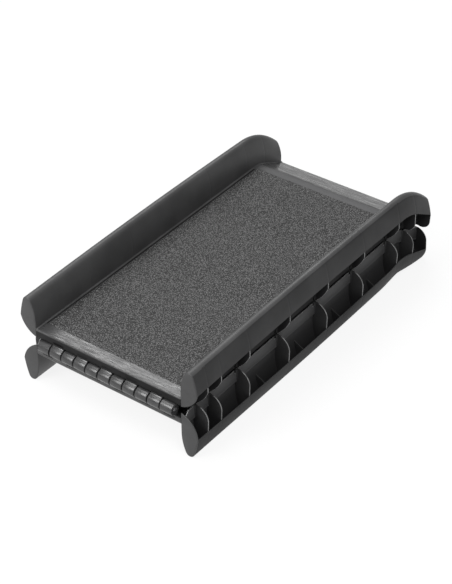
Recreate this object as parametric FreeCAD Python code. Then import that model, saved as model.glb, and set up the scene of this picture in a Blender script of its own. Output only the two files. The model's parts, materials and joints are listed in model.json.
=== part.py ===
import FreeCAD, Part
import math
import os

# A folding ramp of two moulded halves, shown folded underside to underside.
# Each half is built in its own frame: X across, Y from the hinge line to the free end, and U up
# from the fold plane to the rail crests.  The vehicle half keeps U as Z.  The ground half is
# mirrored in Z, so it stands upside down on its rail crests.  Last, the whole assembly is tipped
# by a small angle so that the ground half's crests meet the floor at both ends.
# Millimetres throughout.  "Right" is +X, "left" is -X.

V = FreeCAD.Vector

# ---- overall sizes ----------------------------------------------------------------------------
LENGTH = 787.0            # one half, hinge line to free end
WIDTH = 406.4             # across the widest line of the rail skins
TREAD = 31.0              # fold plane to walking face
CREST = 95.15             # fold plane to rail crest
SKIN_EDGE = 50.4          # fold plane to the lower edge of a rail's outer skin
END_GAP = 0.15            # each half's end face stands this far from the hinge axis
BEND_Y = 704.0            # where the free end of each half bends
BOW_END = 700.0           # the rails arch a little between the hinge and here

# ---- section across the half ------------------------------------------------------------------
RAIL_IN = 166.9           # inner wall of a rail, at the walking face
LEAN_X = 169.8            # part way up, where the inner wall leans outwards
SHOULDER_X = 176.5        # just inside the crest
CREST_X = 184.5           # rail crest
SKIN_TOP_X = 194.5        # where the crest rounds over into the outer skin
SHELL = 2.6               # wall of a rail
DECK = 3.0                # wall of the deck
WEB_OUT = 173.5           # outer face of a side web
WEB = 2.5                 # wall of a side web
BEAD_WIDTH = 3.2          # raised bead beside the tread sheet
BEAD_HEIGHT = 1.6
WEB_GAP = 3.4             # side web to fold surface
RIB_GAP = 2.4             # rib to fold surface
END_WALL = 2.5            # caps and walls that close the two ends

# ---- stations along the half ------------------------------------------------------------------
BAY = 125.8
FIRST_BAY = 159.5
RIB_STATIONS = [34.5, 74.0] + [FIRST_BAY + BAY * n for n in (0, 1, 2, 3, 4, 4.5)]
NOTCHED_RIBS = RIB_STATIONS[2:7]
GUSSET_STATIONS = [FIRST_BAY + BAY * (n + 0.5) for n in range(4)]
RIB_HALF = 1.25           # half the thickness of a rib
GUSSET_HALF = 1.0
NOTCH = 7.0               # square notch in a web's edge beside a rib
LIP_START = 690.0         # where the flat deck hands over to the bent lip
WEB_FRONT = [(6.0, 14.0), (15.0, WEB_GAP)]    # sloping front edge of a side web

# ---- deck stringers, tread sheet, feet --------------------------------------------------------
STRINGER_X = [-85.5, 0.0, 85.5]
STRINGER_DEPTH = 9.0
STRINGER_HALF = 1.1
SHEET_HALF_WIDTH = 160.0
SHEET_START = 26.0
SHEET_END = 686.0
SHEET_THICK = 0.8
FOOT_Y = 752.0
FOOT_RADIUS = 13.0
FOOT_THICK = 3.0
FOOT_CLEAR = 0.5          # foot face to fold surface
BOSS_RADIUS = 15.5
STEM_RADIUS = 3.0
STEM_LENGTH = 10.0
STEM_CLEAR = 0.1

# ---- hinge ------------------------------------------------------------------------------------
BARREL_HALF = 156.5
KNUCKLES = 11
BARREL_RADIUS = 12.0
KNUCKLE_GAP = 3.0
PIN_RADIUS = 4.0
PIN_RECESS = 1.2
GROUND_BORE_CLEAR = 0.03
VEHICLE_BORE_CLEAR = 0.06
HINGE_WALL_LOW = 15.0     # lower edge of the wall above the barrel

# ---- latch on the left web --------------------------------------------------------------------
LATCH_Y = 600.0
LATCH_Z = -20.0           # pivot, in the ground half
CATCH_Z = 16.0            # catch stud, in the vehicle half
LATCH_REST = 8.0          # degrees above level when released
LEVER_IN = 177.3
LEVER_OUT = 180.9
STUD_RADIUS = 3.0
STUD_HEAD_RADIUS = 5.5
SCREW_RADIUS = 3.0
SCREW_HEAD_RADIUS = 6.0
HEAD_IN = 181.3
HEAD_OUT = 184.5


def ramp(y, start, blend):
    """Zero before start, slope one after it, with a parabola of half length blend between."""
    d = y - start
    if d <= -blend:
        return 0.0
    if d >= blend:
        return d
    return (d + blend) ** 2 / (4 * blend)


def ease(y, start, end):
    """Rises smoothly from 0 at start to 1 at end."""
    t = min(max((y - start) / (end - start), 0.0), 1.0)
    return t * t * (3 - 2 * t)


def bow(y):
    """The gentle arch of a rail: 0 at the hinge and at the bend, and 1 half way."""
    return math.sin(math.pi * min(max(y / BOW_END, 0.0), 1.0))


class VehicleHalf:
    """Free end bends towards the underside, so that it lies level on a tailgate."""
    name = "vehicle"
    bend = -1
    nose_size = 3.0           # corner block of the deck above the hinge, and its rounding
    nose_radius = 2.2
    cap_right = [(190.7, 25.6), 11.5]     # an end cap's lower outline: its belly, and its low end
    cap_left = cap_right
    knuckles = range(1, KNUCKLES, 2)
    bore = PIN_RADIUS + VEHICLE_BORE_CLEAR
    foot_x = 118.0
    rib_belly = (195.0, 22.5)
    rib_side = 37.0
    end_belly = (197.6, 11.0)
    end_side = 27.0
    bend_stations = [672, 684]

    @staticmethod
    def crest(y):
        return CREST + 4.2 * bow(y) - 0.00406 * max(0.0, y - 672) ** 2

    @staticmethod
    def edge(y):
        return SKIN_EDGE + 4.6 * bow(y) - 0.58 * ramp(y, 706, 30)

    @staticmethod
    def skin_x(y):
        return WIDTH / 2


class GroundHalf:
    """Free end bends towards the walking face, so that it lies flat on the ground."""
    name = "ground"
    bend = 1
    nose_size = 8.0
    nose_radius = 7.6
    cap_right = [(193.1, 20.7), 3.5]
    cap_left = [(190.5, 23.8), 6.0]
    knuckles = range(0, KNUCKLES, 2)
    bore = PIN_RADIUS + GROUND_BORE_CLEAR
    foot_x = 72.0
    rib_belly = (197.0, 13.5)
    rib_side = 30.0
    end_belly = (197.0, 13.5)
    end_side = 30.0
    bend_stations = [615, 625, 640, 652, 673, 678, 683, 688, 768, 777]
    DIP_Y = 683.0             # the crest dips to here and then follows the bent lip
    DIP = 6.6
    STAND_Y = 777.0           # the crest's lowest point when folded, which meets the floor

    @classmethod
    def crest(cls, y):
        dip = cls.DIP * ease(min(y, cls.DIP_Y), 615, cls.DIP_Y + 12)
        t = min(ramp(y, cls.DIP_Y, 7) / 102.0, 1.0)
        rise = 15.6 * (1 - (1 - t) ** 1.6)
        arch = 3.3 * bow(y) ** 1.5
        return CREST + arch - dip + rise - 4.0 * max(0.0, (y - cls.STAND_Y) / 10.0) ** 2

    @staticmethod
    def edge(y):
        return SKIN_EDGE + 5.5 * bow(y) - 4.8 * ease(y, 632, 676) + 0.40 * ramp(y, 694, 24)

    @staticmethod
    def skin_x(y):
        return WIDTH / 2 - 5.0 * ease(y, 700, LENGTH + 20)


def tread(half, y):
    return TREAD + half.bend * 0.455 * ramp(y, BEND_Y, 8)


def fold_surface(half, y):
    return half.bend * 0.42 * ramp(y, BEND_Y, 8)


def lip_stations():
    """Where a bent outline needs a point: through the bend, and at the free end."""
    return [LIP_START, 696, 700, 704, 708, 712, LENGTH - END_WALL, LENGTH]


def rail_stations(half):
    """Where a rail's section is drawn: at both faces of each rib and gusset, and in the bend."""
    ribs = [y + d for y in RIB_STATIONS for d in (-RIB_HALF, RIB_HALF)]
    plates = [y + d for y in GUSSET_STATIONS for d in (-GUSSET_HALF, GUSSET_HALF)]
    curve = half.bend_stations + lip_stations() + [742, 757]
    return sorted(set([END_GAP + END_WALL] + ribs + plates + curve))


# ---- drawing helpers --------------------------------------------------------------------------

def solid_of(shape):
    return shape if shape.ShapeType == "Solid" else shape.Solids[0]


def slab(outline_yu, x_low, x_high):
    """An outline in the Y-U plane, extruded across X."""
    points = [V(x_low, y, u) for y, u in outline_yu]
    wire = Part.makePolygon(points + points[:1])
    return solid_of(Part.Face(wire).extrude(V(x_high - x_low, 0, 0)))


def box(x0, x1, y0, y1, u0, u1):
    return Part.makeBox(x1 - x0, y1 - y0, u1 - u0, V(x0, y0, u0))


def rod(x0, x1, y, u, radius):
    """A round bar along X."""
    return Part.makeCylinder(radius, x1 - x0, V(x0, y, u), V(1, 0, 0))


def line(a, b):
    return Part.LineSegment(a, b).toShape()


def arc(a, middle, b):
    return Part.Arc(a, middle, b).toShape()


def loft(wires):
    return solid_of(Part.makeLoft(wires, True, True))


def mirror_x(shape):
    return shape.mirror(V(0, 0, 0), V(1, 0, 0))


def fuse(shapes):
    whole = shapes[0].multiFuse(shapes[1:]) if len(shapes) > 1 else shapes[0]
    return whole.removeSplitter()


# ---- rails ------------------------------------------------------------------------------------

def rail_points(half, y):
    """Named points of a right rail's section at one station, outer face first."""
    base = tread(half, y)
    top = half.crest(y)
    height = top - base
    skin = half.skin_x(y)
    edge = half.edge(y)
    over = top - 0.11 * height
    middle_x = (SKIN_TOP_X + skin) / 2 + 0.9
    middle_u = (over + edge) / 2
    points = {
        "base": (RAIL_IN, base),
        "knee": (RAIL_IN, base + 0.22 * height),
        "lean": (LEAN_X, base + 0.62 * height),
        "in": (SHOULDER_X, base + 0.92 * height),
        "top": (CREST_X, top),
        "over": (SKIN_TOP_X, over),
        "middle": (middle_x, middle_u),
        "tip": (skin, edge),
        "tip_2": (skin - SHELL, edge + 1.0),
        "middle_2": (middle_x - SHELL, middle_u - 0.3),
        "over_2": (SKIN_TOP_X - 2.3, over - 1.3),
        "top_2": (CREST_X, top - SHELL),
        "in_2": (SHOULDER_X + 1.6, base + 0.92 * height - 2.1),
        "lean_2": (LEAN_X + 2.4, base + 0.62 * height - 0.9),
        "knee_2": (RAIL_IN + SHELL, base + 0.22 * height),
        "base_2": (RAIL_IN + SHELL, base),
    }
    return {key: V(x, y, u) for key, (x, u) in points.items()}


def rail_hollow_edges(p):
    """The hollow side of a rail's wall, from the skin's edge round to the deck."""
    return [
        arc(p["tip_2"], p["middle_2"], p["over_2"]),
        arc(p["over_2"], p["top_2"], p["in_2"]),
        arc(p["in_2"], p["lean_2"], p["knee_2"]),
        line(p["knee_2"], p["base_2"]),
    ]


def rail_outer_edges(p):
    return [
        line(p["base"], p["knee"]),
        arc(p["knee"], p["lean"], p["in"]),
        arc(p["in"], p["top"], p["over"]),
        arc(p["over"], p["middle"], p["tip"]),
    ]


def right_rail(half):
    wires = []
    for y in rail_stations(half):
        p = rail_points(half, y)
        edges = rail_outer_edges(p) + [line(p["tip"], p["tip_2"])]
        edges += rail_hollow_edges(p) + [line(p["base_2"], p["base"])]
        wires.append(Part.Wire(edges))
    return loft(wires)


def right_end_cap(half, cap):
    """Closes the rail at the hinge end, with a rounded lower edge."""
    p = rail_points(half, END_GAP)
    (belly_x, belly_u), low_u = cap
    low = V(RAIL_IN, END_GAP, low_u)
    belly = V(belly_x, END_GAP, belly_u)
    edges = rail_outer_edges(p) + [arc(p["tip"], belly, low), line(low, p["base"])]
    return solid_of(Part.Face(Part.Wire(edges)).extrude(V(0, END_WALL, 0)))


def rib_wire(half, y, rib_belly, rib_side):
    """A plate that fills the rail's hollow and reaches down beside the web."""
    p = rail_points(half, y)
    fold = fold_surface(half, y)
    scale = (half.edge(y) - fold) / SKIN_EDGE
    shift = half.skin_x(y) - WIDTH / 2
    low = V(WEB_OUT, y, fold + RIB_GAP)
    toe = V(WEB_OUT + 3.0, y, fold + RIB_GAP)
    belly = V(rib_belly[0] + shift, y, fold + rib_belly[1] * scale)
    side = V(WIDTH / 2 - 0.9 + shift, y, fold + rib_side * scale)
    brow = p["tip"] + (p["tip_2"] - p["tip"]) * 0.2
    corner = V(WEB_OUT, y, tread(half, y))
    edges = [line(low, toe), arc(toe, belly, side), line(side, brow), line(brow, p["tip_2"])]
    edges += rail_hollow_edges(p)
    edges += [line(p["base_2"], corner), line(corner, low)]
    return Part.Wire(edges)


def right_outer_ribs(half):
    spans = [(y - RIB_HALF, y + RIB_HALF) for y in RIB_STATIONS] + [(LENGTH - END_WALL, LENGTH)]
    ribs = []
    for span in spans[:-2]:
        ribs.append(loft([rib_wire(half, y, half.rib_belly, half.rib_side) for y in span]))
    for span in spans[-2:]:
        ribs.append(loft([rib_wire(half, y, half.end_belly, half.end_side) for y in span]))
    return Part.makeCompound(ribs)


def right_gussets(half):
    """Low plates half way along each bay, deep inside the rail's hollow."""
    above = [(160.0, 52.0), (206.0, 76.0), (206.0, 100.0), (160.0, 100.0)]
    plates = []
    for y in GUSSET_STATIONS:
        ends = [y - GUSSET_HALF, y + GUSSET_HALF]
        plate = loft([rib_wire(half, end, half.rib_belly, half.rib_side) for end in ends])
        points = [V(x, y - 2, u) for x, u in above]
        keep = Part.Face(Part.makePolygon(points + points[:1])).extrude(V(0, 4, 0))
        plates.append(solid_of(plate.common(keep)))
    return Part.makeCompound(plates)


# ---- deck, lip, webs and ribs underneath ------------------------------------------------------

def bead_slab(half, stations):
    upper = [(y, tread(half, y) + BEAD_HEIGHT) for y in stations]
    lower = [(y, tread(half, y)) for y in reversed(stations)]
    right = slab(upper + lower, RAIL_IN - BEAD_WIDTH, RAIL_IN)
    return [right, mirror_x(right)]


def deck_nose(half):
    """The rounded edge above the hinge, between the two rails."""
    back = END_GAP + half.nose_size
    low = TREAD - half.nose_size
    nose = box(-RAIL_IN, RAIL_IN, END_GAP, back, low, TREAD)
    edge = [e for e in nose.Edges
            if all(abs(v.Y - END_GAP) < 0.01 and abs(v.Z - TREAD) < 0.01 for v in e.Vertexes)]
    nose = nose.makeFillet(half.nose_radius, edge)
    if half.nose_size > DECK:
        inside = END_GAP + END_WALL
        hollow = [(inside, low), (back, low), (back, TREAD - DECK), (inside + 2.5, TREAD - DECK)]
        nose = nose.cut(slab(hollow, -RAIL_IN, RAIL_IN))
    return nose


def deck(half):
    """The flat walking panel, with a rounded nose and a bead along each rail."""
    nose_line = END_GAP + half.nose_size
    panel = box(-WEB_OUT, WEB_OUT, nose_line, LIP_START, TREAD - DECK, TREAD)
    side = box(RAIL_IN, WEB_OUT, END_GAP + END_WALL, nose_line, TREAD - DECK, TREAD)
    beads = bead_slab(half, [nose_line, LIP_START])
    return fuse([deck_nose(half), panel, side, mirror_x(side)] + beads)


def foot_frame(half, x):
    """Centre of a foot on the fold surface, and the direction up through the lip."""
    slope = math.atan(0.42) * half.bend
    centre = V(x, FOOT_Y, fold_surface(half, FOOT_Y))
    return centre, V(0, -math.sin(slope), math.cos(slope))


def foot_bosses(half):
    """Round pads under the lip that carry the rubber feet."""
    stations = lip_stations()
    lower = [(y, fold_surface(half, y)) for y in stations]
    upper = [(y, tread(half, y) - DECK) for y in reversed(stations)]
    room = slab(lower + upper, -WEB_OUT, WEB_OUT)
    bosses = []
    for x in (-half.foot_x, half.foot_x):
        centre, up = foot_frame(half, x)
        seat = centre + up * (FOOT_CLEAR + FOOT_THICK)
        post = Part.makeCylinder(BOSS_RADIUS, 40, seat, up)
        bore = Part.makeCylinder(STEM_RADIUS + STEM_CLEAR, STEM_LENGTH + 0.5, seat, up)
        bosses.append(post.common(room).cut(bore))
    return bosses


def lip(half):
    """The bent free end: a sloping panel, its end wall, beads and foot bosses."""
    stations = lip_stations()
    upper = [(y, tread(half, y)) for y in stations]
    lower = [(y, tread(half, y) - DECK) for y in reversed(stations)]
    panel = slab(upper + lower, -WEB_OUT, WEB_OUT)
    ends = [LENGTH - END_WALL, LENGTH]
    wall_low = [(y, fold_surface(half, y) + RIB_GAP) for y in ends]
    wall_high = [(y, tread(half, y) - DECK / 2) for y in reversed(ends)]
    wall = slab(wall_low + wall_high, -WEB_OUT + WEB, WEB_OUT - WEB)
    return fuse([panel, wall] + bead_slab(half, stations) + foot_bosses(half))


def web_outline(half):
    """Side web seen from the side, with a notch beside each inner rib."""
    lower = [(END_GAP + END_WALL, WEB_FRONT[0][1])] + WEB_FRONT
    for y in NOTCHED_RIBS:
        start = y - RIB_HALF - NOTCH
        end = y - RIB_HALF
        lower += [(start, WEB_GAP), (start, WEB_GAP + NOTCH), (end, WEB_GAP + NOTCH)]
        lower += [(end, WEB_GAP)]
    stations = lip_stations()
    lower += [(y, fold_surface(half, y) + WEB_GAP) for y in stations]
    upper = [(y, tread(half, y) - DECK) for y in reversed(stations)]
    upper += [(END_GAP + END_WALL, TREAD - DECK)]
    return lower + upper


def right_web(half):
    return slab(web_outline(half), WEB_OUT - WEB, WEB_OUT)


def stringers(half):
    """Shallow ribs along the underside of the deck."""
    low = TREAD - DECK - STRINGER_DEPTH
    start = END_GAP + half.nose_size
    bars = []
    for x in STRINGER_X:
        bars.append(box(x - STRINGER_HALF, x + STRINGER_HALF, start, LIP_START, low, TREAD - DECK))
    return Part.makeCompound(bars)


def cross_ribs(half):
    """Full-depth ribs from web to web, notched over the stringers."""
    inside = WEB_OUT - WEB
    ribs = []
    for y in RIB_STATIONS:
        ends = [y - RIB_HALF, y + RIB_HALF]
        low = [(s, fold_surface(half, s) + RIB_GAP) for s in ends]
        high = [(s, tread(half, s) - DECK) for s in reversed(ends)]
        rib = slab(low + high, -inside, inside)
        ribs.append(solid_of(rib.cut(stringers(half))))
    return Part.makeCompound(ribs)


def tread_sheet(half):
    return box(-SHEET_HALF_WIDTH, SHEET_HALF_WIDTH, SHEET_START, SHEET_END,
               TREAD, TREAD + SHEET_THICK)


def feet(half):
    """Rubber feet, each with a stem pressed into its boss."""
    pads = []
    for x in (-half.foot_x, half.foot_x):
        centre, up = foot_frame(half, x)
        face = centre + up * FOOT_CLEAR
        pad = Part.makeCylinder(FOOT_RADIUS, FOOT_THICK, face, up)
        stem = Part.makeCylinder(STEM_RADIUS, STEM_LENGTH + FOOT_THICK, face, up)
        pads.append(solid_of(fuse([pad, stem])))
    return Part.makeCompound(pads)


# ---- hinge ------------------------------------------------------------------------------------

def knuckle_span(index):
    pitch = 2 * BARREL_HALF / KNUCKLES
    start = -BARREL_HALF + pitch * index
    return start + KNUCKLE_GAP / 2, start + pitch - KNUCKLE_GAP / 2


def hinge_strip(half):
    """The wall across the hinge end, with this half's knuckles."""
    wall_back = END_GAP + END_WALL
    wall_top = TREAD - half.nose_size
    parts = [box(-RAIL_IN, RAIL_IN, END_GAP, wall_back, HINGE_WALL_LOW, wall_top)]
    for index in half.knuckles:
        x0, x1 = knuckle_span(index)
        parts.append(rod(x0, x1, 0, 0, BARREL_RADIUS))
        parts.append(box(x0, x1, END_GAP, BARREL_RADIUS, 0, BARREL_RADIUS * 0.5))
        parts.append(box(x0, x1, END_GAP, BARREL_RADIUS * 0.6, 0, HINGE_WALL_LOW + 5))
    strip = fuse(parts)
    for index in half.knuckles:
        x0, x1 = knuckle_span(index)
        strip = strip.cut(rod(x0 - 1, x1 + 1, 0, 0, half.bore))
    return strip


def hinge_pin():
    """Plain steel pin, its ends just inside the barrel."""
    reach = BARREL_HALF - PIN_RECESS
    pin = rod(-reach, reach, 0, 0, PIN_RADIUS)
    ends = [edge for edge in pin.Edges if edge.Curve.TypeId == "Part::GeomCircle"]
    return pin.makeChamfer(0.6, ends)


# ---- latch ------------------------------------------------------------------------------------

def latch_screw():
    """Shouldered pivot screw, with a spacer collar that stands the lever off the web."""
    shank = rod(-HEAD_OUT, -WEB_OUT, LATCH_Y, LATCH_Z, SCREW_RADIUS)
    head = rod(-HEAD_OUT, -HEAD_IN, LATCH_Y, LATCH_Z, SCREW_HEAD_RADIUS)
    collar = rod(-LEVER_IN + 0.3, -WEB_OUT, LATCH_Y, LATCH_Z, 8.0)
    slot = box(-HEAD_OUT - 1, -HEAD_OUT + 1, LATCH_Y - 7, LATCH_Y + 7, LATCH_Z - 0.6, LATCH_Z + 0.6)
    return fuse([shank, head, collar]).cut(slot)


def latch_catch():
    """Headed stud on the vehicle half's left web, which the lever hooks."""
    shank = rod(-HEAD_OUT, -WEB_OUT, LATCH_Y, CATCH_Z, STUD_RADIUS)
    head = rod(-HEAD_OUT, -HEAD_IN, LATCH_Y, CATCH_Z, STUD_HEAD_RADIUS)
    collar = rod(-LEVER_IN + 0.5, -WEB_OUT, LATCH_Y, CATCH_Z, 6.5)
    return fuse([shank, head, collar])


def latch_lever():
    """Flat hook on the pivot screw, lying released along the ground half's web."""
    reach = CATCH_Z - LATCH_Z
    tip = reach + 12.0
    hub = rod(-LEVER_OUT, -LEVER_IN, 0, 0, 9.0)
    outline = [(0, -7), (reach + 2, -6), (tip, -3), (tip, 6), (reach + 5, 8), (0, 7)]
    arm = slab(outline, -LEVER_OUT, -LEVER_IN)
    tab = box(-LEVER_OUT - 9, -LEVER_IN, tip - 3, tip, -3, 6)
    lever = fuse([hub, arm, tab])
    slot_half = STUD_RADIUS + 0.4
    notch = rod(-LEVER_OUT - 1, -LEVER_IN + 1, reach, 0, slot_half)
    opening = [(reach - slot_half, 0), (reach + slot_half, 0), (reach + slot_half, 12),
               (reach - slot_half - 2.4, 12)]
    mouth = slab(opening, -LEVER_OUT - 1, -LEVER_IN + 1)
    bore = rod(-LEVER_OUT - 1, -LEVER_IN + 1, 0, 0, SCREW_RADIUS + 0.06)
    lever = lever.cut(notch).cut(mouth).cut(bore)
    lever.rotate(V(0, 0, 0), V(1, 0, 0), LATCH_REST)
    lever.translate(V(0, LATCH_Y, LATCH_Z))
    return lever


# ---- assembly ---------------------------------------------------------------------------------

def half_nodes(half):
    sides = {
        "rail": right_rail(half),
        "outer_ribs": right_outer_ribs(half),
        "gussets": right_gussets(half),
        "side_web": right_web(half),
    }
    nodes = {
        "deck": deck(half),
        "lip": lip(half),
        "tread_sheet": tread_sheet(half),
        "stringers": stringers(half),
        "cross_ribs": cross_ribs(half),
        "hinge_strip": hinge_strip(half),
        "feet": feet(half),
        "right_end_cap": right_end_cap(half, half.cap_right),
        "left_end_cap": mirror_x(right_end_cap(half, half.cap_left)),
    }
    for part, shape in sides.items():
        nodes["right_" + part] = shape
        nodes["left_" + part] = mirror_x(shape)
    if half is GroundHalf:
        nodes = {key: shape.mirror(V(0, 0, 0), V(0, 0, 1)) for key, shape in nodes.items()}
    return {half.name + "_" + key: shape for key, shape in nodes.items()}


def stand(nodes):
    """Tip the folded ramp onto its two lines of contact, and centre it over the origin."""
    drop = GroundHalf.crest(GroundHalf.STAND_Y) - CREST
    tip = math.atan2(drop, GroundHalf.STAND_Y - END_GAP)
    height = CREST * math.cos(tip) - END_GAP * math.sin(tip)
    far = LENGTH * math.cos(tip) + GroundHalf.crest(LENGTH) * math.sin(tip)
    shift_y = -(far - BARREL_RADIUS) / 2
    placed = {}
    for name, shape in nodes.items():
        moved = shape.copy()
        moved.rotate(V(0, 0, 0), V(1, 0, 0), math.degrees(tip))
        moved.translate(V(0, shift_y, height))
        placed[name] = moved
    print("tip %.5f deg, hinge axis y %.4f z %.4f" % (math.degrees(tip), shift_y, height))
    return placed


def main():
    nodes = half_nodes(VehicleHalf)
    nodes.update(half_nodes(GroundHalf))
    nodes["hinge_pin"] = hinge_pin()
    nodes["latch_screw"] = latch_screw()
    nodes["latch_catch"] = latch_catch()
    nodes["latch_lever"] = latch_lever()
    os.makedirs("parts", exist_ok=True)
    for name, shape in stand(nodes).items():
        shape.exportStep(os.path.join("parts", name + ".step"))


main()
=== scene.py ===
import json
import math

import bmesh
import bpy
from mathutils import Matrix, Vector, noise


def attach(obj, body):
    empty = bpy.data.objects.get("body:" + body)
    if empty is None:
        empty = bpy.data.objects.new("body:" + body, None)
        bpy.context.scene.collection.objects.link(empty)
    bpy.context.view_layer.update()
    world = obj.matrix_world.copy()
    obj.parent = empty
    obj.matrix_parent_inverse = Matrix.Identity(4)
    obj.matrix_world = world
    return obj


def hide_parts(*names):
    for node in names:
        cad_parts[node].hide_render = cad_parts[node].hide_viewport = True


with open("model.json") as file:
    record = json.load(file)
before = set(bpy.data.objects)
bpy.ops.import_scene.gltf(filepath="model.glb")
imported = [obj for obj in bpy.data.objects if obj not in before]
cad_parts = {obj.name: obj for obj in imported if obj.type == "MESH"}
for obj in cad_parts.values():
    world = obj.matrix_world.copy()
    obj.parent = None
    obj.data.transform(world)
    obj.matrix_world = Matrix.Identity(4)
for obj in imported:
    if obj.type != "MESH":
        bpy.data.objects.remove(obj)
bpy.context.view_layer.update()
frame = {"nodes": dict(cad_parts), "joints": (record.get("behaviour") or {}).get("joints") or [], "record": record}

# The looks of a folding ramp of two moulded halves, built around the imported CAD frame.
# Each half has its own frame: X across, Y from the hinge line to the free end, U up from the fold
# plane to the rail crests.  Lengths are in millimetres there, and place() turns them into the
# part's own frame, in metres.  The ground half is the one upside down, so its U points down.

MM = 0.001

# ---- shape of a half, as the CAD has it --------------------------------------------------------
LENGTH = 787.0            # hinge line to free end
WIDTH = 406.4
TREAD = 31.0              # fold plane to walking face
CREST = 95.15             # fold plane to rail crest
SKIN_EDGE = 50.4          # fold plane to the lower edge of a rail's outer skin
END_GAP = 0.15            # hinge line to the end caps
END_WALL = 2.5
BOW_END = 700.0           # the rails' arch ends here
RAIL_BEND_Y = 615         # the rails' lines start to bend here
BEND_Y = 704.0            # the walking face and the fold surface bend here
BEND_BLEND = 8            # half length of the curve between flat and slope
TREAD_SLOPE = 0.455       # of the walking face past the bend
FOLD_SLOPE = 0.42         # of the fold surface past the bend
RAIL_IN = 166.9
LEAN_X = 169.8
SHOULDER_X = 176.5
CREST_X = 184.5
SKIN_TOP_X = 194.5
SHELL = 2.6               # wall of a rail
DECK = 3.0                # wall of the walking panel
WEB_OUT = 173.5
WEB = 2.5
WEB_GAP = 3.4             # fold surface to a web's lower edge
RIB_GAP = 2.4             # fold surface to a rib's lower edge
RIB_TOE = 3.0             # how far a rib's flat foot reaches out from the web
RIB_SET_BACK = 0.9        # skin's edge to a rib's edge
BAY = 125.8
FIRST_BAY = 159.5
RIB_STATIONS = [34.5, 74.0] + [FIRST_BAY + BAY * n for n in (0, 1, 2, 3, 4, 4.5)]
NOTCHED_RIBS = RIB_STATIONS[2:7]
GUSSET_STATIONS = [FIRST_BAY + BAY * (n + 0.5) for n in range(4)]
RIB_HALF = 1.25
GUSSET_HALF = 1.0
GUSSET_FOOT = (160.0, 52.0)        # a gusset's edge passes here
GUSSET_RISE, GUSSET_RUN = 24.0, 46.0
NOTCH = 7.0
WEB_FRONT = [(6.0, 14.0), (15.0, WEB_GAP)]
STRINGER_X = [-85.5, 0.0, 85.5]
STRINGER_DEPTH = 9.0
STRINGER_HALF = 1.1
SHEET_HALF_WIDTH = 160.0
SHEET_START = 26.0
SHEET_END = 686.0
SHEET_THICK = 0.8
FLAT_STRIP = (SHEET_END - 8, 706)  # smooth strip between the tread sheet and the bend
BEAD_WIDTH = 3.2
BEAD_HEIGHT = 1.6
FOOT_Y = 752.0
FOOT_RADIUS = 13.0
FOOT_THICK = 3.0
FOOT_CLEAR = 0.5
BOSS_RADIUS = 15.5
BARREL_HALF = 156.5
KNUCKLES = 11
BARREL_RADIUS = 12.0
KNUCKLE_GAP = 3.0
PIN_RADIUS = 4.0
BORE_RADIUS = 4.3
PIN_RECESS = 1.2
HINGE_WALL_LOW = 15.0

# ---- finish of the moulding --------------------------------------------------------------------
OVERLAP = 1.0             # how far a rib reaches into the wall it grows from
RIM = 0.9                 # rounding of thin edges
CAP_RIM = 2.0             # rounding of the end caps
KNUCKLE_RIM = 0.8         # rounding of the barrel's ends
SINK_DEPTH = 0.24         # sink marks over the ribs
SINK_WIDTH = 1.9
EDGE_KINK = 0.8           # the skin's edge dips at each rib
KINK_WIDTH = 1.8
SHEET_CELL = 2.3          # mesh spacing of the tread sheet
GRAIN_HEIGHT = 0.10       # roughness of the tread sheet's face

# ---- where one finish, painted shade or painted highlight gives way to another -----------------
SKIN_FROM_X = 0.188       # metres from the middle: outer skins lie beyond
BAY_TO_X = 0.181          # and the bays' inner walls within
RIM_FROM_X = 0.178        # a rib's rim, painted with a highlight, lies beyond, and its fillet within
END_PLATE_FROM = 780      # station, in millimetres, past which a rib is the end plate
SHADED_WALL_FROM = 0.0142   # metres above the hinge, where the vehicle's front wall starts to be painted in shade


def joint(name):
    return next(j for j in frame["joints"] if j["name"] == name)


def mount(name):
    return next(m for m in frame["record"]["mounts"] if m["name"] == name)


HINGE = Vector(joint("fold_hinge")["pos_m"])
TREAD_NORMAL = Vector(mount("vehicle_tread_face")["axis"])
TIP = math.atan2(-TREAD_NORMAL.y, TREAD_NORMAL.z)
TILT = Matrix.Rotation(TIP, 4, "X")


def ramp(y, start, blend):
    """Zero before start, slope one after it, with a parabola of half length blend between."""
    d = y - start
    if d <= -blend:
        return 0.0
    if d >= blend:
        return d
    return (d + blend) ** 2 / (4 * blend)


def ease(y, start, end):
    t = min(max((y - start) / (end - start), 0.0), 1.0)
    return t * t * (3 - 2 * t)


def bow(y):
    """The gentle arch of a rail: 0 at the hinge and at the bend, and 1 half way."""
    return math.sin(math.pi * min(max(y / BOW_END, 0.0), 1.0))


class VehicleHalf:
    name = "vehicle"
    body = "vehicle_half"
    bend = -1
    up = 1
    nose_size = 3.0
    nose_radius = 2.2
    caps = {"right": [(190.7, 25.6), 11.5], "left": [(190.7, 25.6), 11.5]}
    knuckles = range(1, KNUCKLES, 2)
    foot_x = 118.0
    rib_belly = (195.0, 22.5)
    rib_side = 37.0
    end_belly = (197.6, 11.0)
    end_side = 27.0
    ARCH = 4.2                # how far the crest bows up half way along
    FALL_Y = 672              # the crest falls away past this
    FALL = 0.00406
    EDGE_ARCH = 4.6           # the same for the skin's lower edge
    EDGE_SLOPE = 0.58

    @classmethod
    def crest(cls, y):
        return CREST + cls.ARCH * bow(y) - cls.FALL * max(0.0, y - cls.FALL_Y) ** 2

    @classmethod
    def edge(cls, y):
        return SKIN_EDGE + cls.EDGE_ARCH * bow(y) - cls.EDGE_SLOPE * ramp(y, 706, 30)

    @staticmethod
    def skin_x(y):
        return WIDTH / 2


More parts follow.
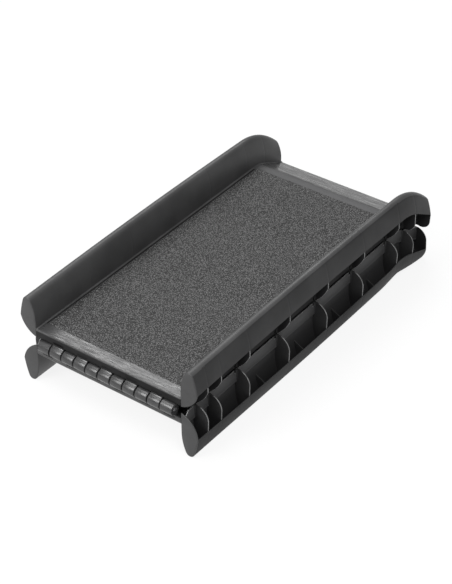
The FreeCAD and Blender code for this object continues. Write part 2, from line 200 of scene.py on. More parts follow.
class GroundHalf:
    name = "ground"
    body = "ground_half"
    bend = 1
    up = -1
    nose_size = 8.0
    nose_radius = 7.6
    caps = {"right": [(193.1, 20.7), 3.5], "left": [(190.5, 23.8), 6.0]}
    knuckles = range(0, KNUCKLES, 2)
    foot_x = 72.0
    rib_belly = (197.0, 13.5)
    rib_side = 30.0
    end_belly = (197.0, 13.5)
    end_side = 30.0
    ARCH = 3.3
    DIP_Y = 683.0             # the crest dips up to here and then follows the bent lip
    DIP = 6.6
    RISE = 15.6
    RISE_LENGTH = 102.0
    STAND_Y = 777.0           # the crest meets the floor here, and rounds off past it
    EDGE_ARCH = 5.5
    EDGE_DIP = 4.8
    EDGE_SLOPE = 0.40
    TAPER = 5.0               # how much narrower the free end is

    @classmethod
    def crest(cls, y):
        dip = cls.DIP * ease(min(y, cls.DIP_Y), RAIL_BEND_Y, cls.DIP_Y + 12)
        t = min(ramp(y, cls.DIP_Y, 7) / cls.RISE_LENGTH, 1.0)
        rise = cls.RISE * (1 - (1 - t) ** 1.6)
        arch = cls.ARCH * bow(y) ** 1.5
        return CREST + arch - dip + rise - 4.0 * max(0.0, (y - cls.STAND_Y) / 10.0) ** 2

    @classmethod
    def edge(cls, y):
        dip = cls.EDGE_DIP * ease(y, 632, 676)
        return SKIN_EDGE + cls.EDGE_ARCH * bow(y) - dip + cls.EDGE_SLOPE * ramp(y, 694, 24)

    @classmethod
    def skin_x(cls, y):
        return WIDTH / 2 - cls.TAPER * ease(y, 700, LENGTH + 20)


HALVES = [VehicleHalf, GroundHalf]
SIDES = {"right": 1, "left": -1}


def tread(half, y):
    return TREAD + half.bend * TREAD_SLOPE * ramp(y, BEND_Y, BEND_BLEND)


def fold_surface(half, y):
    return half.bend * FOLD_SLOPE * ramp(y, BEND_Y, BEND_BLEND)


def place(half, point, side=1):
    """A point of a half's frame, in the part's own frame."""
    x, y, u = point
    return HINGE + TILT @ (Vector((x * side, y, u * half.up)) * MM)


# ---- mesh helpers ------------------------------------------------------------------------------

def divide(start, end, count):
    return [start + (end - start) * i / count for i in range(count + 1)]


def steps(start, end, spacing):
    return divide(start, end, max(1, round(abs(end - start) / spacing)))


def arc(a, middle, b, count):
    """Points on the circle through a, middle and b, from a to b."""
    (ax, ay), (bx, by), (cx, cy) = a, middle, b
    d = 2 * (ax * (by - cy) + bx * (cy - ay) + cx * (ay - by))
    if abs(d) < 1e-9:
        return list(zip(divide(ax, cx, count), divide(ay, cy, count)))
    a2, b2, c2 = ax * ax + ay * ay, bx * bx + by * by, cx * cx + cy * cy
    ox = (a2 * (by - cy) + b2 * (cy - ay) + c2 * (ay - by)) / d
    oy = (a2 * (cx - bx) + b2 * (ax - cx) + c2 * (bx - ax)) / d
    start, mid, end = (math.atan2(q - oy, p - ox) for p, q in (a, middle, b))
    turn = (end - start) % (2 * math.pi)
    if (mid - start) % (2 * math.pi) > turn:
        turn -= 2 * math.pi
    radius = math.hypot(ax - ox, ay - oy)
    angles = [start + turn * i / count for i in range(count + 1)]
    return [(ox + radius * math.cos(t), oy + radius * math.sin(t)) for t in angles]


SAME_POINT = 0.02         # millimetres


def chain(*runs):
    """Joins runs of points, dropping the points that repeat where two runs meet."""
    out = []
    for run in runs:
        for p in run:
            if not out or math.dist(p, out[-1]) > SAME_POINT:
                out.append(p)
    if math.dist(out[0], out[-1]) < SAME_POINT:
        out.pop()
    return out


def relax(points, passes):
    """Smooths an open line of points and keeps its ends."""
    for _ in range(passes):
        inner = [((a[0] + 2 * b[0] + c[0]) / 4, (a[1] + 2 * b[1] + c[1]) / 4)
                 for a, b, c in zip(points, points[1:], points[2:])]
        points = [points[0]] + inner + [points[-1]]
    return points


def inset(loop, amount):
    """Moves a closed loop inwards by an amount, with mitred corners."""
    if amount == 0:
        return loop
    n = len(loop)
    area = sum(loop[i - 1][0] * loop[i][1] - loop[i][0] * loop[i - 1][1] for i in range(n))
    sign = 1 if area > 0 else -1
    out = []
    for i, (x, y) in enumerate(loop):
        before = Vector((x - loop[i - 1][0], y - loop[i - 1][1])).normalized()
        after = Vector((loop[(i + 1) % n][0] - x, loop[(i + 1) % n][1] - y)).normalized()
        n1 = Vector((-before.y, before.x)) * sign
        n2 = Vector((-after.y, after.x)) * sign
        mid = n1 + n2
        if mid.length < 1e-6:
            mid = n1
        mid.normalize()
        reach = amount / max(mid.dot(n1), 0.5)
        out.append((x + mid.x * reach, y + mid.y * reach))
    return out


def loft(rings):
    """A closed mesh through rings of equally many points, capped at both ends."""
    count = len(rings[0])
    verts = [p for ring in rings for p in ring]
    faces = []
    for i in range(len(rings) - 1):
        low, high = i * count, (i + 1) * count
        for j in range(count):
            k = (j + 1) % count
            faces.append((low + j, low + k, high + k, high + j))
    faces.append(tuple(range(count)))
    faces.append(tuple(range((len(rings) - 1) * count, len(rings) * count)))
    return verts, faces


def plate(outline, low, high, axis, rim=RIM, rim_steps=3, rounded="both"):
    """A flat part with rounded rims.  outline(t) is its loop at depth t along the axis."""
    layers = []
    for i in range(rim_steps + 1):
        a = math.pi / 2 * i / rim_steps
        layers.append((rim * (1 - math.cos(a)), rim * (1 - math.sin(a))))
    first = [(low, 0)] if rounded == "high" else [(low + d, cut) for d, cut in layers]
    last = [(high, 0)] if rounded == "low" else [(high - d, cut) for d, cut in reversed(layers)]
    depths = first + last
    rings = []
    for depth, cut in depths:
        loop = inset(outline(depth), cut)
        if axis == "y":
            rings.append([(p, depth, q) for p, q in loop])
        else:
            rings.append([(depth, p, q) for p, q in loop])
    return loft(rings)


def lathe(profile, centre, axis, segments=40):
    """Turns (radius, height) points about an axis through centre."""
    axis = Vector(axis).normalized()
    side = axis.orthogonal().normalized()
    other = axis.cross(side)
    rings = []
    for radius, height in profile:
        ring = []
        for i in range(segments):
            a = 2 * math.pi * i / segments
            out = side * math.cos(a) + other * math.sin(a)
            ring.append(tuple(Vector(centre) + axis * height + out * radius))
        rings.append(ring)
    return loft(rings)


def make_object(name, half, parts, side, smooth_angle):
    mesh = bpy.data.meshes.new(name)
    bm = bmesh.new()
    for verts, faces in parts:
        made = [bm.verts.new(place(half, p, side)) for p in verts]
        for face in faces:
            bm.faces.new([made[i] for i in face])
    bmesh.ops.recalc_face_normals(bm, faces=bm.faces)
    bm.to_mesh(mesh)
    bm.free()
    mesh.shade_smooth()
    mesh.set_sharp_from_angle(angle=math.radians(smooth_angle))
    piece = bpy.data.objects.new(name, mesh)
    bpy.context.scene.collection.objects.link(piece)
    return piece


def add_piece(name, half, parts, nodes, material, side=1, smooth_angle=38):
    piece = make_object(name, half, parts, side, smooth_angle)
    piece.data.materials.append(material)
    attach(piece, half.body)
    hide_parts(*nodes)
    return piece


# ---- materials ---------------------------------------------------------------------------------

MOULD_GRAIN = 1500        # cells per metre of the fine grain that a mould leaves


def new_material(name):
    material = bpy.data.materials.new(name)
    material.use_nodes = True
    tree = material.node_tree
    return material, tree, tree.nodes["Principled BSDF"]


def mapped_noise(tree, scale, stretch=(1, 1, 1), detail=2.0, roughness=0.5):
    """A noise texture in the piece's own coordinates.  scale is in cells per metre."""
    coords = tree.nodes.new("ShaderNodeTexCoord")
    mapping = tree.nodes.new("ShaderNodeMapping")
    mapping.inputs["Scale"].default_value = stretch
    tex = tree.nodes.new("ShaderNodeTexNoise")
    tex.inputs["Scale"].default_value = scale
    tex.inputs["Detail"].default_value = detail
    tex.inputs["Roughness"].default_value = roughness
    tree.links.new(coords.outputs["Object"], mapping.inputs["Vector"])
    tree.links.new(mapping.outputs["Vector"], tex.inputs["Vector"])
    return tex.outputs["Fac"]


def cells(tree, scale):
    """Voronoi cells, scale of them per metre: distance from the middle, and a value for each."""
    coords = tree.nodes.new("ShaderNodeTexCoord")
    tex = tree.nodes.new("ShaderNodeTexVoronoi")
    tex.inputs["Scale"].default_value = scale
    split = tree.nodes.new("ShaderNodeSeparateColor")
    tree.links.new(coords.outputs["Object"], tex.inputs["Vector"])
    tree.links.new(tex.outputs["Color"], split.inputs["Color"])
    return tex.outputs["Distance"], split.outputs["Red"]


def spread(tree, value, low, high, from_low=0.3, from_high=0.7):
    """Maps a noise value to a range."""
    node = tree.nodes.new("ShaderNodeMapRange")
    node.inputs["From Min"].default_value = from_low
    node.inputs["From Max"].default_value = from_high
    node.inputs["To Min"].default_value = low
    node.inputs["To Max"].default_value = high
    tree.links.new(value, node.inputs["Value"])
    return node.outputs["Result"]


def two_colours(tree, value, dark, light, low=0.35, high=0.65):
    node = tree.nodes.new("ShaderNodeValToRGB")
    node.color_ramp.elements[0].position = low
    node.color_ramp.elements[0].color = (*dark, 1)
    node.color_ramp.elements[1].position = high
    node.color_ramp.elements[1].color = (*light, 1)
    tree.links.new(value, node.inputs["Fac"])
    return node.outputs["Color"]


def black(value):
    """The moulding's colour, which leans a little to blue."""
    return (value, value, value + 0.0005)


def add_bumps(tree, shader, bumps):
    """bumps is a list of (height value, strength, distance in metres)."""
    normal = None
    for height, strength, distance in bumps:
        node = tree.nodes.new("ShaderNodeBump")
        node.inputs["Strength"].default_value = strength
        node.inputs["Distance"].default_value = distance
        tree.links.new(height, node.inputs["Height"])
        if normal is not None:
            tree.links.new(normal, node.inputs["Normal"])
        normal = node.outputs["Normal"]
    tree.links.new(normal, shader.inputs["Normal"])


def satin_plastic(name, dark, light, rough, grain_strength, specular):
    """Black satin polyethylene: a fine moulded grain, and slow variation in tone and gloss."""
    material, tree, shader = new_material(name)
    tone = mapped_noise(tree, 14, detail=3)
    tree.links.new(two_colours(tree, tone, black(dark), black(light)), shader.inputs["Base Color"])
    gloss = mapped_noise(tree, 9, stretch=(1, 0.35, 1), detail=3)
    tree.links.new(spread(tree, gloss, *rough), shader.inputs["Roughness"])
    grain = mapped_noise(tree, MOULD_GRAIN, detail=1)
    waves = mapped_noise(tree, 30, stretch=(1, 0.3, 1), detail=1)
    add_bumps(tree, shader, [(grain, grain_strength, 0.0002), (waves, 0.15, 0.0012)])
    shader.inputs["Specular IOR Level"].default_value = specular
    return material


def polished_plastic():
    """The same plastic where the mould is smooth, beside the tread sheet."""
    material, tree, shader = new_material("polished_plastic")
    tone = mapped_noise(tree, 20, detail=3)
    tree.links.new(two_colours(tree, tone, black(0.020), black(0.034)), shader.inputs["Base Color"])
    gloss = mapped_noise(tree, 40, stretch=(0.6, 4, 1), detail=4, roughness=0.6)
    tree.links.new(spread(tree, gloss, 0.20, 0.44), shader.inputs["Roughness"])
    waves = mapped_noise(tree, 34, stretch=(0.5, 4, 1), detail=3)
    grain = mapped_noise(tree, 1100, detail=1)
    add_bumps(tree, shader, [(waves, 0.6, 0.0022), (grain, 0.08, 0.0002)])
    return material


def bay_shade_plastic():
    """The walls of the ground half's bays, with painted shade that darkens them towards the crest."""
    material, tree, shader = new_material("bay_shade_plastic")
    coords = tree.nodes.new("ShaderNodeTexCoord")
    split = tree.nodes.new("ShaderNodeSeparateXYZ")
    tree.links.new(coords.outputs["Object"], split.inputs["Vector"])
    deep_shade_near_floor, near_panel = (0.005, 0.005, 0.0052), (0.054, 0.054, 0.055)
    colour = two_colours(tree, split.outputs["Z"], deep_shade_near_floor, near_panel, 0.0, 0.09)
    tree.links.new(colour, shader.inputs["Base Color"])
    flow = mapped_noise(tree, 60, stretch=(1, 0.2, 1), detail=2)
    tree.links.new(spread(tree, flow, 0.50, 0.68), shader.inputs["Roughness"])
    grain = mapped_noise(tree, MOULD_GRAIN, detail=1)
    add_bumps(tree, shader, [(grain, 0.15, 0.0002), (flow, 0.20, 0.0010)])
    shader.inputs["Specular IOR Level"].default_value = 0.22
    return material


def matte_or_shade_plastic(name, dark, light, specular):
    """Matte plastic with little sheen.  In a very dark colour it is painted shade, for faces that lie in shade."""
    material, tree, shader = new_material(name)
    tone = mapped_noise(tree, 16, detail=3)
    colour = two_colours(tree, tone, (dark, dark, dark * 1.02), (light, light, light * 1.02))
    tree.links.new(colour, shader.inputs["Base Color"])
    tree.links.new(spread(tree, tone, 0.50, 0.68), shader.inputs["Roughness"])
    grain = mapped_noise(tree, MOULD_GRAIN, detail=1)
    flow = mapped_noise(tree, 60, stretch=(1, 0.2, 1), detail=2)
    add_bumps(tree, shader, [(grain, 0.15, 0.0002), (flow, 0.15, 0.0008)])
    shader.inputs["Specular IOR Level"].default_value = specular
    return material


def edge_highlight_plastic():
    """Thin edges, painted paler than the faces beside them as a highlight."""
    material, tree, shader = new_material("edge_highlight_plastic")
    highlight_patches = mapped_noise(tree, 90, detail=3, roughness=0.6)
    colour = two_colours(tree, highlight_patches, (0.09, 0.09, 0.091), (0.19, 0.19, 0.191))
    tree.links.new(colour, shader.inputs["Base Color"])
    tree.links.new(spread(tree, highlight_patches, 0.35, 0.55), shader.inputs["Roughness"])
    grain = mapped_noise(tree, MOULD_GRAIN, detail=1)
    add_bumps(tree, shader, [(grain, 0.10, 0.0002)])
    return material


def barrel_plastic():
    """The hinge barrel, rubbed bright by handling."""
    material, tree, shader = new_material("barrel_plastic")
    tone = mapped_noise(tree, 60, detail=3)
    tree.links.new(two_colours(tree, tone, black(0.024), black(0.034)), shader.inputs["Base Color"])
    scuffs = mapped_noise(tree, 240, stretch=(0.2, 1, 1), detail=4, roughness=0.65)
    tree.links.new(spread(tree, scuffs, 0.20, 0.40), shader.inputs["Roughness"])
    add_bumps(tree, shader, [(scuffs, 0.30, 0.0005)])
    return material


def tread_grit():
    """Sprayed grit: lumps two or three millimetres across, and grains of about one."""
    material, tree, shader = new_material("tread_grit")
    from_middle, _ = cells(tree, 390)
    _, grains = cells(tree, 900)
    lumps = spread(tree, from_middle, 1.0, 0.0, 0.15, 0.65)
    blend = tree.nodes.new("ShaderNodeMath")
    blend.operation = "MULTIPLY_ADD"
    blend.inputs[1].default_value = 0.45
    tree.links.new(grains, blend.inputs[0])
    tree.links.new(spread(tree, lumps, 0.0, 0.55, 0, 1), blend.inputs[2])
    mixed = blend.outputs["Value"]
    colour = two_colours(tree, mixed, (0.011, 0.011, 0.011), (0.108, 0.108, 0.108), 0.35, 0.75)
    tree.links.new(colour, shader.inputs["Base Color"])
    tree.links.new(spread(tree, mixed, 0.85, 0.5, 0, 1), shader.inputs["Roughness"])
    add_bumps(tree, shader, [(mixed, 0.9, 0.0008)])
    shader.inputs["Specular IOR Level"].default_value = 0.36
    return material


def rubber():
    material, tree, shader = new_material("rubber_foot")
    tone = mapped_noise(tree, 60, detail=3)
    colour = two_colours(tree, tone, (0.018, 0.018, 0.018), (0.030, 0.029, 0.028))
    tree.links.new(colour, shader.inputs["Base Color"])
    tree.links.new(spread(tree, tone, 0.7, 0.9), shader.inputs["Roughness"])
    grain = mapped_noise(tree, 1800, detail=1)
    add_bumps(tree, shader, [(grain, 0.3, 0.0002)])
    return material


def steel(name, colour, rough):
    """Drawn or plated steel, with fine lines along X."""
    material, tree, shader = new_material(name)
    lines = mapped_noise(tree, 900, stretch=(0.05, 1, 1), detail=2)
    dark = tuple(c * 0.75 for c in colour)
    tree.links.new(two_colours(tree, lines, dark, colour), shader.inputs["Base Color"])
    tree.links.new(spread(tree, lines, rough - 0.08, rough + 0.1), shader.inputs["Roughness"])
    add_bumps(tree, shader, [(lines, 0.15, 0.0001)])
    shader.inputs["Metallic"].default_value = 1.0
    return material


PLASTIC = satin_plastic("moulded_plastic", 0.035, 0.047, (0.36, 0.50), 0.10, 0.27)
# Painted shade: darker copies of the moulded plastic for the outer skins and the ground half's ribs. The ground
# half's skins also get dimmer reflections.
SKIN_SHADED = satin_plastic("skin_shaded_plastic", 0.017, 0.026, (0.40, 0.56), 0.12, 0.17)
LOW_SKIN_SHADED = satin_plastic("low_skin_shaded_plastic", 0.017, 0.026, (0.40, 0.56), 0.12, 0.05)
POLISHED = polished_plastic()
BARREL = barrel_plastic()
BAY_WALL_SHADE = bay_shade_plastic()
# Painted shade: a near-black copy for faces deep in shade.
INNER_SHADE = matte_or_shade_plastic("inner_shade_plastic", 0.010, 0.018, 0.08)
DULL = matte_or_shade_plastic("dull_plastic", 0.042, 0.060, 0.26)
EDGE_HIGHLIGHT = edge_highlight_plastic()
GRIT = tread_grit()
RUBBER = rubber()
PIN_STEEL = steel("hinge_steel", (0.32, 0.32, 0.33), 0.38)
LATCH_STEEL = steel("latch_steel", (0.55, 0.55, 0.56), 0.3)


# ---- rails -------------------------------------------------------------------------------------

def rail_points(half, y):
    """A rail's section: the visible side, and with _2 the hidden side of its wall."""
    base = tread(half, y)
    top = half.crest(y)
    height = top - base
    skin = half.skin_x(y)
    edge = half.edge(y)
    over = top - 0.11 * height
    middle_x = (SKIN_TOP_X + skin) / 2 + 0.9
    middle_u = (over + edge) / 2
    return {
        "base": (RAIL_IN, base),
        "knee": (RAIL_IN, base + 0.22 * height),
        "lean": (LEAN_X, base + 0.62 * height),
        "in": (SHOULDER_X, base + 0.92 * height),
        "top": (CREST_X, top),
        "over": (SKIN_TOP_X, over),
        "middle": (middle_x, middle_u),
        "tip": (skin, edge),
        "tip_2": (skin - SHELL, edge + 1.0),
        "middle_2": (middle_x - SHELL, middle_u - 0.3),
        "over_2": (SKIN_TOP_X - 2.3, over - 1.3),
        "top_2": (CREST_X, top - SHELL),
        "in_2": (SHOULDER_X + 1.6, base + 0.92 * height - 2.1),
        "lean_2": (LEAN_X + 2.4, base + 0.62 * height - 0.9),
        "knee_2": (RAIL_IN + SHELL, base + 0.22 * height),
        "base_2": (RAIL_IN + SHELL, base),
    }


def outer_line(half, y):
    """The visible side of a rail, from the walking face over the crest to the skin's edge."""
    p = rail_points(half, y)
    line = chain(
        [p["base"], (p["base"][0], (p["base"][1] + p["knee"][1]) / 2), p["knee"]],
        arc(p["knee"], p["lean"], p["in"], 12),
        arc(p["in"], p["top"], p["over"], 16),
        arc(p["over"], p["middle"], p["tip"], 12),
    )
    return relax(line, 2)


def hollow_line(half, y):
    """The hidden side of a rail's wall, from the skin's edge back to the walking face."""
    p = rail_points(half, y)
    line = chain(
        arc(p["tip_2"], p["middle_2"], p["over_2"], 12),
        arc(p["over_2"], p["top_2"], p["in_2"], 16),
        arc(p["in_2"], p["lean_2"], p["knee_2"], 12),
        [p["knee_2"], (p["base_2"][0], (p["base_2"][1] + p["knee_2"][1]) / 2), p["base_2"]],
    )
    return relax(line, 2)


def mid_wall(half, y):
    """A line inside a rail's wall, where ribs and gussets end."""
    pairs = zip(hollow_line(half, y), outer_line(half, y)[::-1])
    return [(a[0] * 0.6 + b[0] * 0.4, a[1] * 0.6 + b[1] * 0.4) for a, b in pairs]


def nearness(y, width):
    """1 over a rib, falling to 0 beside it."""
    return max(math.exp(-((y - s) / width) ** 2) for s in RIB_STATIONS)


def sunk(line, y):
    """Sink marks where ribs meet the wall, and a small dip of the skin's edge there."""
    depth = SINK_DEPTH * nearness(y, SINK_WIDTH)
    out = []
    for i, (x, u) in enumerate(line):
        toward = Vector((CREST_X - x, SKIN_EDGE - u)).normalized()
        share = depth if 0 < i < len(line) - 1 else 0
        out.append((x + toward.x * share, u + toward.y * share))
    dip = EDGE_KINK * nearness(y, KINK_WIDTH)
    for back in (1, 2):
        x, u = out[-back]
        out[-back] = (x, u - dip / back)
    return out


def rail_loop(half, y):
    outer = sunk(outer_line(half, y), y)
    hollow = hollow_line(half, y)
    (x0, u0), (x1, u1) = outer[-1], hollow[0]
    turn = arc((x0, u0), ((x0 + x1) / 2 + 0.1, (u0 + u1) / 2 - 0.9), (x1, u1), 4)
    return outer + turn[1:-1] + hollow


def rail_stations():
    """Close together over the ribs and through the bend, and wider apart elsewhere."""
    start = END_GAP + END_WALL
    end = LENGTH - END_WALL
    spots = (-6, -4, -2.8, -1.8, -0.9, 0, 0.9, 1.8, 2.8, 4, 6)
    beside = [rib + spot for rib in RIB_STATIONS for spot in spots]
    plain = [y for y in steps(start, RAIL_BEND_Y, 12) if min(abs(y - b) for b in beside) > 3]
    bend = [y for y in steps(RAIL_BEND_Y, end, 5) if min(abs(y - b) for b in beside) > 1.5]
    return sorted(set(plain + bend + [y for y in beside if start < y < end] + [start, end]))


def rail(half):
    rings = []
    for y in rail_stations():
        rings.append([(x, y, u) for x, u in rail_loop(half, y)])
    return loft(rings)


def end_cap(half, belly, low_u):
    """Closes a rail at the hinge end, down to low_u on its inner side."""
    tip = rail_points(half, END_GAP)["tip"]
    low = (RAIL_IN, low_u)
    loop = chain(outer_line(half, END_GAP), arc(tip, belly, low, 18), [low])
    return plate(lambda y: loop, END_GAP, END_GAP + END_WALL, "y", CAP_RIM, 4, rounded="low")


def parting_line(half):
    """The faint ridge that the mould's two parts leave across an end cap."""
    low, high = SKIN_EDGE - 0.4 - 0.45, SKIN_EDGE - 0.4 + 0.45
    x0, x1 = RAIL_IN + 2.5, half.skin_x(0) - 2.2
    loop = [(x0, low), (x1, low), (x1, high), (x0, high)]
    return plate(lambda y: loop, END_GAP - 0.13, END_GAP + 0.5, "y", 0.12, 2)


def rib_points(half, y, belly, side):
    """The edge of a rib or end plate: its low, toe, belly, side and corner points."""
    fold = fold_surface(half, y)
    scale = (half.edge(y) - fold) / SKIN_EDGE
    shift = half.skin_x(y) - WIDTH / 2
    low = (WEB_OUT - OVERLAP, fold + RIB_GAP)
    toe = (WEB_OUT + RIB_TOE, fold + RIB_GAP)
    belly_point = (belly[0] + shift, fold + belly[1] * scale)
    side_point = (WIDTH / 2 - RIB_SET_BACK + shift, fold + side * scale)
    corner = (WEB_OUT - OVERLAP, tread(half, y) - OVERLAP)
    return low, toe, belly_point, side_point, corner


def rib_loop(half, y, belly, side):
    """A plate that fills a rail's hollow and reaches down beside the web."""
    low, toe, belly_point, side_point, corner = rib_points(half, y, belly, side)
    inner = (RAIL_IN + SHELL / 2, tread(half, y) - OVERLAP)
    curve = arc(toe, belly_point, side_point, 20)
    return chain([low], curve, [side_point], mid_wall(half, y), [inner, corner])


def free_end_loop(half, y):
    """The rail's whole section, closed down to the fold surface."""
    low, toe, belly, side, corner = rib_points(half, y, half.end_belly, half.end_side)
    inner = (RAIL_IN, tread(half, y) - OVERLAP)
    return chain(outer_line(half, y), arc(side, belly, toe, 20), [low, corner, inner])


def outer_ribs(half):
    parts = []
    for y in RIB_STATIONS:
        last = y == RIB_STATIONS[-1]
        belly = half.end_belly if last else half.rib_belly
        side = half.end_side if last else half.rib_side
        parts.append(plate(lambda t: rib_loop(half, t, belly, side),
                           y - RIB_HALF, y + RIB_HALF, "y", RIM))
    parts.append(plate(lambda t: free_end_loop(half, t), LENGTH - END_WALL, LENGTH, "y",
                       CAP_RIM, 4, rounded="high"))
    parts += [corner_fillet(half, y) for y in RIB_STATIONS]
    return parts


def corner_fillet(half, y):
    """A hollow fillet where a rib meets the side web, on the rib's hinge side."""
    face = y - RIB_HALF
    deep = 26
    back = 0.293              # a quarter circle's middle, as a share of its radius
    rings = []
    for depth in (0, 2, 5, 9, 14, 20, deep):
        u = fold_surface(half, y) + RIB_GAP + 0.3 + depth
        radius = 4.2 - 3.0 * depth / deep
        curve = arc((WEB_OUT + radius, face), (WEB_OUT + radius * back, face - radius * back),
                    (WEB_OUT, face - radius), 5)
        loop = curve + [(WEB_OUT - 0.5, face - radius), (WEB_OUT - 0.5, face + 0.5),
                        (WEB_OUT + radius, face + 0.5)]
        rings.append([(x, across, u) for x, across in loop])
    return loft(rings)


def gussets(half):
    """Low three-cornered plates half way along each bay, deep in the rail's hollow."""
    def edge_height(x):
        return GUSSET_FOOT[1] + (x - GUSSET_FOOT[0]) * GUSSET_RISE / GUSSET_RUN

    parts = []
    for y in GUSSET_STATIONS:
        kept = [(x, u) for x, u in mid_wall(half, y) if u > edge_height(x)]
        parts.append(plate(lambda t: kept, y - GUSSET_HALF, y + GUSSET_HALF, "y", RIM))
    return parts


# ---- panel, webs and ribs underneath -----------------------------------------------------------

def panel_top(half):
    """The walking face from the nose's foot to the free end, as (y, u) points."""
    r = half.nose_radius
    centre_y, centre_u = END_GAP + r, TREAD - r
    nose = [(END_GAP, TREAD - half.nose_size)]
    for i in range(9):
        a = math.pi - math.pi / 2 * i / 8
        nose.append((centre_y + r * math.cos(a), centre_u + r * math.sin(a)))
    flat = [(y, TREAD) for y in [11, 14, 17, 20, 23, 26, 60, 200, 400, 600, 680, 686, 690]]
    bend = [(y, tread(half, y)) for y in steps(693, 717, 3) + steps(725, LENGTH - 1.5, 9)]
    end_u = tread(half, LENGTH)
    rim = [(LENGTH - 0.4, end_u - 0.4), (LENGTH, end_u - 1.5)]
    return nose + flat + bend + rim


def ripple(x, y):
    """Slow unevenness of the smooth plastic, in millimetres."""
    slow = noise.noise(Vector((x / 34, y / 9, 3.1)))
    quick = noise.noise(Vector((x / 11, y / 5, 8)))
    return 0.10 * slow + 0.05 * quick


def walking_panel(half):
    """The panel between the rails, and a flat strip under each rail's foot."""
    top = panel_top(half)
    last_even = 6             # top's points up to this one have no ripple
    bottom = [(LENGTH, tread(half, LENGTH) - DECK)]
    bottom += [(y, tread(half, y) - DECK) for y in reversed(steps(690, 780, 6))]
    bottom += [(400, TREAD - DECK)]
    if half.nose_size > DECK:
        bottom += [(12, TREAD - DECK), (END_GAP + END_WALL + 2.4, TREAD - DECK - 1.4)]
    bottom += [(END_GAP + END_WALL, TREAD - half.nose_size)]
    rings = []
    for x in steps(-RAIL_IN - 0.3, RAIL_IN + 0.3, 7):
        upper = [(x, y, u + (ripple(x, y) if i > last_even else 0))
                 for i, (y, u) in enumerate(top)]
        rings.append(upper + [(x, y, u) for y, u in bottom])
    parts = [loft(rings)]
    for side in SIDES.values():
        low, high = sorted((side * (RAIL_IN - 0.2), side * WEB_OUT))
        stations = [END_GAP + END_WALL, 400, 690] + steps(696, LENGTH, 6)
        strip_top = [(y, tread(half, y)) for y in stations]
        loop = strip_top + [(y, u - DECK) for y, u in reversed(strip_top)]
        parts.append(loft([[(x, y, u) for y, u in loop] for x in (low, high)]))
    return parts


def beads(half):
    """A raised bead along each rail, which fades out at the nose."""
    section = [(-BEAD_WIDTH, -0.6), (-BEAD_WIDTH, 0.2), (-BEAD_WIDTH * 0.9, 0.9),
               (-BEAD_WIDTH * 0.68, 1.4), (-BEAD_WIDTH * 0.4, BEAD_HEIGHT), (0.6, BEAD_HEIGHT),
               (0.6, -0.6)]
    front = END_GAP + half.nose_size
    fading = [(front - 2.4, 0.35, 0.5), (front - 0.6, 0.8, 0.1)]      # station, scale, drop
    full = [front + 1.5, 60, 200, 400, 600, 690] + steps(693, 717, 3)
    full += [LENGTH - 3, LENGTH - 0.8]
    parts = []
    for side in SIDES.values():
        rings = []
        for y, scale, drop in fading + [(y, 1.0, 0) for y in full]:
            base = tread(half, y) - drop
            rings.append([(side * (RAIL_IN + dx), y, base + du * (scale if du > 0 else 1))
                          for dx, du in section])
        parts.append(loft(rings))
    return parts


def end_wall(half):
    """Closes the panel's free end down to the fold surface."""
    def loop(y):
        low = fold_surface(half, y) + RIB_GAP
        high = tread(half, y) - DECK / 2
        reach = WEB_OUT - WEB + OVERLAP
        return [(-reach, low), (reach, low), (reach, high), (-reach, high)]
    return plate(loop, LENGTH - END_WALL, LENGTH - 0.05, "y", RIM)


def foot_frame(half, x):
    """Where a foot sits on the fold surface, and the direction into the panel."""
    slope = math.atan(FOLD_SLOPE) * half.bend
    centre = Vector((x, FOOT_Y, fold_surface(half, FOOT_Y)))
    return centre, Vector((0, -math.sin(slope), math.cos(slope)))


def foot_bosses(half):
    """Round bosses under the panel, which carry the feet."""
    r = BOSS_RADIUS
    seat = FOOT_CLEAR + FOOT_THICK
    depth = tread(half, FOOT_Y) - DECK - fold_surface(half, FOOT_Y)
    reach = depth * math.cos(math.atan(FOLD_SLOPE))
    profile = [(0.5, seat), (r - 0.8, seat), (r - 0.2, seat + 0.25), (r, seat + 0.9),
               (r, reach - 3), (r + 0.6, reach - 1), (r + 2.2, reach + 0.8), (0.5, reach + 0.8)]
    return [lathe(profile, *foot_frame(half, x)) for x in (-half.foot_x, half.foot_x)]


def feet(half):
    """Round rubber feet with a shallow dished face."""
    r = FOOT_RADIUS
    low, top = FOOT_CLEAR, FOOT_CLEAR + FOOT_THICK
    profile = [(0.5, low + 0.6), (r * 0.55, low + 0.6), (r * 0.62, low + 0.15), (r * 0.68, low),
               (r - 0.9, low), (r - 0.25, low + 0.3), (r, low + 0.9), (r, top), (0.5, top)]
    return [lathe(profile, *foot_frame(half, x), 48) for x in (-half.foot_x, half.foot_x)]


def side_web(half):
    """The wall inside a rail's hollow, notched on the hinge side of most ribs."""
    start = END_GAP + END_WALL
    lower = [(start, WEB_FRONT[0][1])] + WEB_FRONT
    for y in NOTCHED_RIBS:
        a, b = y - RIB_HALF - NOTCH, y - RIB_HALF
        lower += [(a, WEB_GAP), (a, WEB_GAP + NOTCH), (b, WEB_GAP + NOTCH), (b, WEB_GAP)]
    bent = [690] + steps(694, 714, 4) + [LENGTH - 0.6]
    lower += [(y, fold_surface(half, y) + WEB_GAP) for y in bent]
    upper = [(y, tread(half, y) - DECK + OVERLAP) for y in reversed(bent)]
    upper += [(start, TREAD - DECK + OVERLAP)]
    loop = lower + upper
    return [plate(lambda x: loop, WEB_OUT - WEB, WEB_OUT, "x", RIM)]


def stringers(half):
    """Shallow ribs that run along under the panel."""
    low, high = TREAD - DECK - STRINGER_DEPTH, TREAD - DECK + OVERLAP
    start, end = END_GAP + half.nose_size, 690
    loop = [(start, low), (end, low), (end, high), (start, high)]
    return [plate(lambda t: loop, x - STRINGER_HALF, x + STRINGER_HALF, "x", RIM)
            for x in STRINGER_X]


